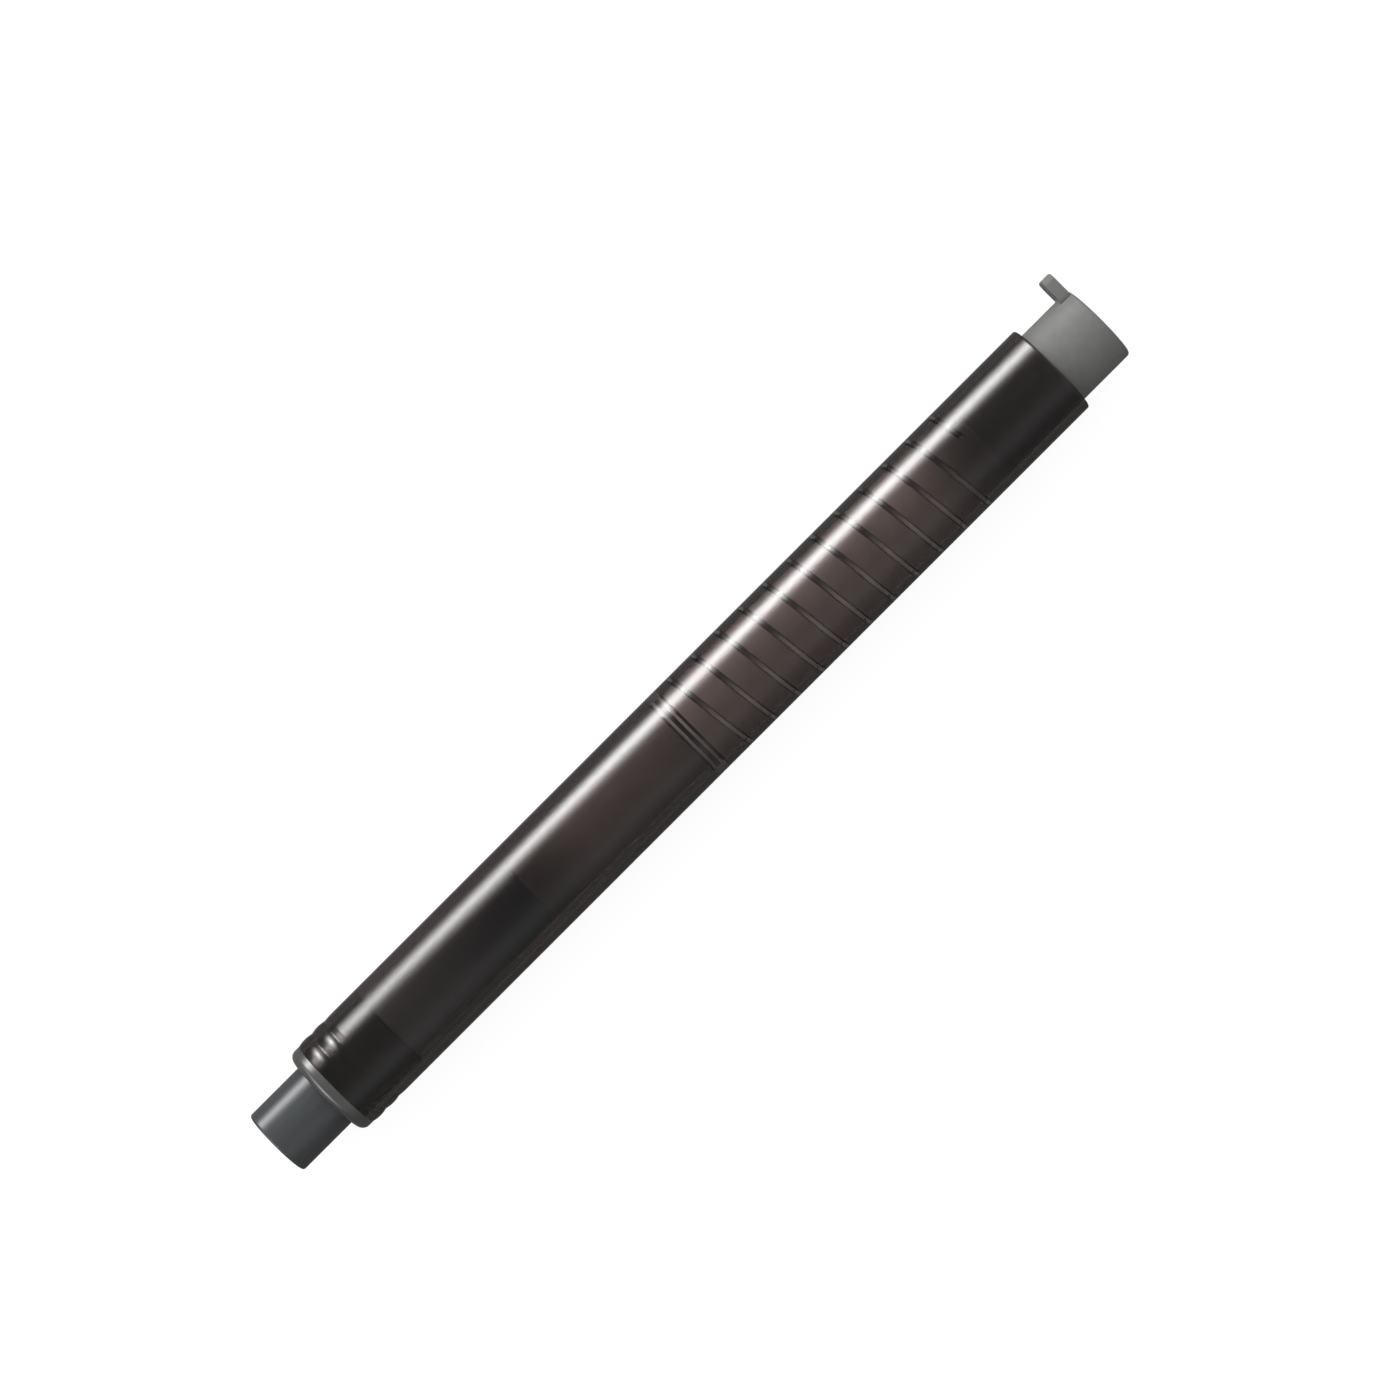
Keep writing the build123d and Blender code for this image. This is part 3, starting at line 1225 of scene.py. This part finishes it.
class Finishes(Enum):
    """Finish of each piece, by what the real one is made of."""

    # Clear smoke styrene from a polished mould: glassy, with long soft mirror images.
    POLISHED_SMOKE_STYRENE = ClearFinish("#a89c9a", 2050.0)
    # ABS from a satin mould: nearly black grey with a soft sheen.
    SATIN_MOULDED_ABS = Finish(
        "#434442", "#3b3c3a", 0.17, Grain(0.16, 0.002, gloss_change=0.03), specular=0.8
    )
    # Extruded eraser vinyl: plain dark grey, with faint draw lines along the stick.
    EXTRUDED_VINYL = Finish(
        "#3d3f40", "#363839", 0.17, Grain(0.12, 0.002, 5.0, gloss_change=0.03), mottle_size=0.5
    )
    # Uncoloured polypropylene of the rod: milky, lets some light in. Its front is painted darker, a painted
    # shade.
    MOULDED_POLYPROPYLENE = Finish(
        "#b5aaa5",
        "#a99e99",
        0.22,
        Grain(0.3, 0.001, 4.0, gloss_change=0.03),
        specular=0.3,
        subsurface=0.3,
        subsurface_depth=0.7,
        # Painted shade over the rod's front.
        dark_stretches=(("#6e6663", Stretch(62.0, 90.0, 8.0, 1.0)),),
    )
    # Acetal of the sleeve: paler and denser. Painted shade darkens its collar round the snap ridges; its rear
    # is painted darker.
    MOULDED_ACETAL = Finish(
        "#f6e7df",
        "#eadbd3",
        0.36,
        Grain(0.3, 0.0006, 4.0, gloss_change=0.03),
        specular=1.0,
        subsurface=0.15,
        subsurface_depth=0.3,
        dark_stretches=(
            # Painted shade round and between the snap ridges; only their tops stay pale.
            ("#2e2a29", Stretch(50.2, 51.9, 0.05, 0.05, SIZES.sleeve_radius + 0.035)),
            # Painted darker towards the knob.
            ("#6a6260", Stretch(10.0, 24.0, 0.1, 9.0)),
        ),
    )
    # ABS from an eroded mould: matt grey with a fine, even grain.
    MATT_MOULDED_ABS = Finish(
        "#646462", "#5b5b59", 0.55, Grain(0.10, 0.008), mottle_size=0.8, specular=0.4
    )


# Studio


@dataclass(frozen=True)
class Band:
    """Soft band of light in the world, as a bell curve in two angles.

    Attributes:
        across: The axis towards or against which the band stands.
        tilt: Middle of the band in degrees from straight up. Below 0 it lies on the minus side.
        tilt_spread: Standard deviation of the tilt in degrees.
        along: Middle of the band along the other flat axis, as part of the unit direction.
        along_spread: Standard deviations on the low and the high side of that middle.
        level: Strength in the middle, where 1 is paper white.
    """

    across: FlatAxis
    tilt: float
    tilt_spread: float
    along: float
    along_spread: tuple[float, float]
    level: float

    def strength(self, tree: Tree, split: Node) -> Node:
        """Adds nodes for level * exp(-(a * a + b * b) / 2), with a and b in standard deviations.

        Args:
            tree: Node tree of the world.
            split: Node that gives the direction's three parts.

        Returns:
            Node with the band's strength.
        """
        parts = {0: split.outputs[self.across.value], 1: split.outputs["Z"]}
        angle = add_node(tree, "Math", parts, operation="ARCTAN2")
        turned = add_node(tree, "Math", {0: angle, 1: math.radians(self.tilt)}, operation="SUBTRACT")
        a = add_node(tree, "Math", {0: turned, 1: math.radians(self.tilt_spread)}, operation="DIVIDE")
        other = FlatAxis.Y if self.across is FlatAxis.X else FlatAxis.X
        middle = {0: split.outputs[other.value], 1: self.along}
        offset = add_node(tree, "Math", middle, operation="SUBTRACT")
        sides = []
        for side, spread in zip(("MINIMUM", "MAXIMUM"), self.along_spread):
            part = add_node(tree, "Math", {0: offset, 1: 0.0}, operation=side)
            sides.append(add_node(tree, "Math", {0: part, 1: spread}, operation="DIVIDE"))
        b = add_node(tree, "Math", {0: sides[0], 1: sides[1]}, operation="ADD")
        squares = [add_node(tree, "Math", {0: c, 1: c}, operation="MULTIPLY") for c in (a, b)]
        total = add_node(tree, "Math", {0: squares[0], 1: squares[1]}, operation="ADD")
        halved = add_node(tree, "Math", {0: total, 1: -0.5}, operation="MULTIPLY")
        bell = add_node(tree, "Math", {0: halved}, operation="EXPONENT")
        return add_node(tree, "Math", {0: bell, 1: self.level}, operation="MULTIPLY")


BANDS = (
    Band(FlatAxis.Y, -77.5, 10.0, -0.03, (0.07, 0.09), 17.0),
    Band(FlatAxis.Y, -77.5, 11.0, 0.0, (0.4, 0.4), 1.6),
    Band(FlatAxis.X, 62.0, 8.0, -0.1, (0.4, 0.3), 5.0),
    Band(FlatAxis.X, -66.0, 11.0, -0.1, (0.4, 0.3), 2.5),
    Band(FlatAxis.Y, 52.0, 17.0, 0.0, (0.6, 0.6), 0.30),
    Band(FlatAxis.Y, -160.0, 12.0, 0.0, (0.6, 0.6), 0.12),
)
KEY_BAND = Band(FlatAxis.Y, -45.0, 11.3, -0.03, (0.31, 0.31), 4.9)


@dataclass(frozen=True)
class Studio:
    """Camera, lamp, floor and world. Places are millimetres in the row frame.

    Attributes:
        aim: Point in the middle of the picture.
        right: Direction that points right in the picture.
        upward: Direction that points up in it.
        distance: From the camera to the aim.
        half_view: Half the picture's side, at the aim.
        sensor_width: Width of the camera's sensor.
        clip: Nearest and farthest distance that the camera sees, in metres.
        floor_half: Half the floor's side.
        floor_gap: From the floor to the stick's widest bead.
        floor_tone: Grey of the floor for the light on it.
        floor_glow: Strength with which the camera sees the floor, apart from its shadow.
        shadow: Share of the shadow in what the camera sees of the floor.
        fill: Strength of the room for all but glossy rays.
        glossy_fill: Strength of the room for glossy rays, low down and high up.
        room_heights: Heights of the direction to which those two belong.
        key_place: Middle of the softbox.
        key_size: Its length along X and its height.
        key_power: Its power in watts.
    """

    aim: tuple[float, float, float] = (48.17, -2.50, 0.0)
    right: tuple[float, float, float] = (-0.7073, 0.7069, 0.0)
    upward: tuple[float, float, float] = (-0.7069, -0.7073, 0.0)
    distance: float = 535.0
    half_view: float = IMAGE_SIDE_PX / 2 / PX_PER_MM
    sensor_width: float = 36.0
    clip: tuple[float, float] = (0.01, 20.0)
    floor_half: float = 3000.0
    floor_gap: float = 0.02
    floor_tone: float = 0.40
    floor_glow: float = 1.62
    shadow: float = 0.45
    fill: float = 0.42
    glossy_fill: tuple[float, float] = (0.10, 0.24)
    room_heights: tuple[float, float] = (-0.2, 0.9)
    key_place: tuple[float, float, float] = (30.0, -420.0, 420.0)
    key_size: tuple[float, float] = (500.0, 300.0)
    key_power: float = 2.3

    def camera(self) -> None:
        """Places the camera straight above the stick, at the photograph's angle."""
        data = bpy.data.cameras.new("camera")
        data.sensor_width = self.sensor_width
        data.lens = data.sensor_width / 2 * self.distance / self.half_view
        data.clip_start, data.clip_end = self.clip
        camera = bpy.data.objects.new("camera", data)
        right, upward = Vector(self.right), Vector(self.upward)
        back = right.cross(upward).normalized()
        turn = Matrix((right, upward, back)).transposed().to_4x4()
        place = (Vector(self.aim) + back * self.distance) * MM
        camera.matrix_world = Matrix.Translation(place) @ turn
        bpy.context.scene.collection.objects.link(camera)
        bpy.context.scene.camera = camera

    def softbox(self) -> None:
        """Adds the rectangular lamp that faces the stick's middle. Nothing mirrors it."""
        data = bpy.data.lights.new("key_softbox", "AREA")
        data.shape = "RECTANGLE"
        data.size, data.size_y = (side * MM for side in self.key_size)
        data.energy = self.key_power
        lamp = bpy.data.objects.new("key_softbox", data)
        lamp.visible_glossy = False
        lamp.visible_transmission = False
        place = Vector(self.key_place)
        towards = (Vector((self.aim[0], 0, 0)) - place).normalized()
        across = Vector((1, 0, 0))
        across = (across - towards * across.dot(towards)).normalized()
        turn = Matrix((across, (-towards).cross(across), -towards)).transposed().to_4x4()
        lamp.matrix_world = Matrix.Translation(place * MM) @ turn
        bpy.context.scene.collection.objects.link(lamp)

    def floor(self) -> None:
        """Adds the plain pale floor. The camera sees it nearly white, with a light shadow."""
        half, level = self.floor_half, -(SIZES.neck_radius + Barrel.bead_height + self.floor_gap)
        mesh = bpy.data.meshes.new("floor")
        corners = [(-half, -half, level), (half, -half, level), (half, half, level), (-half, half, level)]
        mesh.from_pydata((np.array(corners) * MM).tolist(), [], [(0, 1, 2, 3)])
        floor = bpy.data.objects.new("floor", mesh)
        material, tree, matt = new_material("pale_floor")
        tone = (self.floor_tone, self.floor_tone, self.floor_tone, 1)
        fill(matt, {"Base Color": tone, "Roughness": 0.9, "Specular IOR Level": 0.0})
        seen = add_node(tree, "LightPath").outputs["Is Camera Ray"]
        share = add_node(tree, "Math", {0: seen, 1: 1.0 - self.shadow}, operation="MULTIPLY")
        glow = add_node(tree, "Emission", {"Strength": self.floor_glow})
        mix = add_node(tree, "MixShader", {0: share, 1: matt, 2: glow})
        fill(tree.nodes["Material Output"], {"Surface": mix})
        mesh.materials.append(material)
        floor.visible_glossy = False
        bpy.context.scene.collection.objects.link(floor)

    def world(self) -> None:
        """Makes the world: white behind the stick, and one studio for every other ray.

        Camera rays, and rays that pass straight through the clear parts and go down, see white.
        Glossy rays see a dark room that gets paler towards the ceiling, all others a plain fill.
        On top of that come the bands of light, the same for every ray. The key softbox can't be
        seen through the clear parts. A band of its size lights what lies in them and has no mirror
        image there.
        """
        world = bpy.data.worlds.new("studio")
        bpy.context.scene.world = world
        world.use_nodes = True
        tree = world.node_tree
        path = add_node(tree, "LightPath").outputs
        direction = add_node(tree, "TexCoord").outputs["Generated"]
        split = add_node(tree, "SeparateXYZ", {"Vector": direction})
        height = split.outputs["Z"]
        heights, levels = self.room_heights, self.glossy_fill
        span = {"Value": height, "From Min": heights[0], "From Max": heights[1]}
        glossy = add_node(tree, "MapRange", {**span, "To Min": levels[0], "To Max": levels[1]})
        room = {"Factor": path["Is Glossy Ray"], "A": self.fill, "B": glossy}
        light = add_node(tree, "Mix", room)
        for band in BANDS:
            light = add_node(tree, "Math", {0: light, 1: band.strength(tree, split)}, operation="ADD")
        through = path["Is Transmission Ray"]
        direct = add_node(tree, "Math", {0: path["Diffuse Depth"], 1: 0.5}, operation="LESS_THAN")
        scattered = add_node(tree, "Math", {0: 1.0, 1: direct}, operation="SUBTRACT")
        inner = add_node(tree, "Math", {0: through, 1: scattered}, operation="MULTIPLY")
        key = {0: KEY_BAND.strength(tree, split), 1: inner}
        key = add_node(tree, "Math", key, operation="MULTIPLY")
        light = add_node(tree, "Math", {0: light, 1: key}, operation="ADD")
        down = add_node(tree, "Math", {0: height, 1: 0.0}, operation="LESS_THAN")
        straight = add_node(tree, "Math", {0: direct, 1: down}, operation="MULTIPLY")
        clear = add_node(tree, "Math", {0: through, 1: straight}, operation="MULTIPLY")
        seen = add_node(tree, "Math", {0: path["Is Camera Ray"], 1: clear}, operation="MAXIMUM")
        level = add_node(tree, "Mix", {"Factor": seen, "A": light, "B": 1.0})
        fill(tree.nodes["Background"], {"Color": (1, 1, 1, 1), "Strength": level})

    def build(self) -> None:
        """Sets the view transform and makes the whole studio."""
        bpy.context.scene.view_settings.view_transform = "Standard"
        self.camera()
        self.floor()
        self.world()
        self.softbox()


PIECES: list[Piece] = [
    Barrel("barrel", Body.BARREL, Slot.SMOKE, Finishes.POLISHED_SMOKE_STYRENE),
    NoseGuide("nose_guide", Body.BARREL, Slot.DARK, Finishes.SATIN_MOULDED_ABS),
    Eraser("eraser", Body.ROD, Slot.ERASER, Finishes.EXTRUDED_VINYL),
    FeedRod("feed_rod", Body.ROD, Slot.NATURAL, Finishes.MOULDED_POLYPROPYLENE),
    DriveSleeve("drive_sleeve", Body.KNOB, Slot.NATURAL, Finishes.MOULDED_ACETAL),
    TailKnob("tail_knob", Body.KNOB, Slot.GREY, Finishes.MATT_MOULDED_ABS),
]


def main() -> None:
    """Builds every piece and the studio."""
    logging.basicConfig(level=logging.INFO, format="%(name)s %(message)s")
    materials = {finish: finish.value.material(finish.name.lower()) for finish in Finishes}
    for piece in PIECES:
        piece.make(materials)
    Studio().build()


if __name__ == "__main__":
    main()
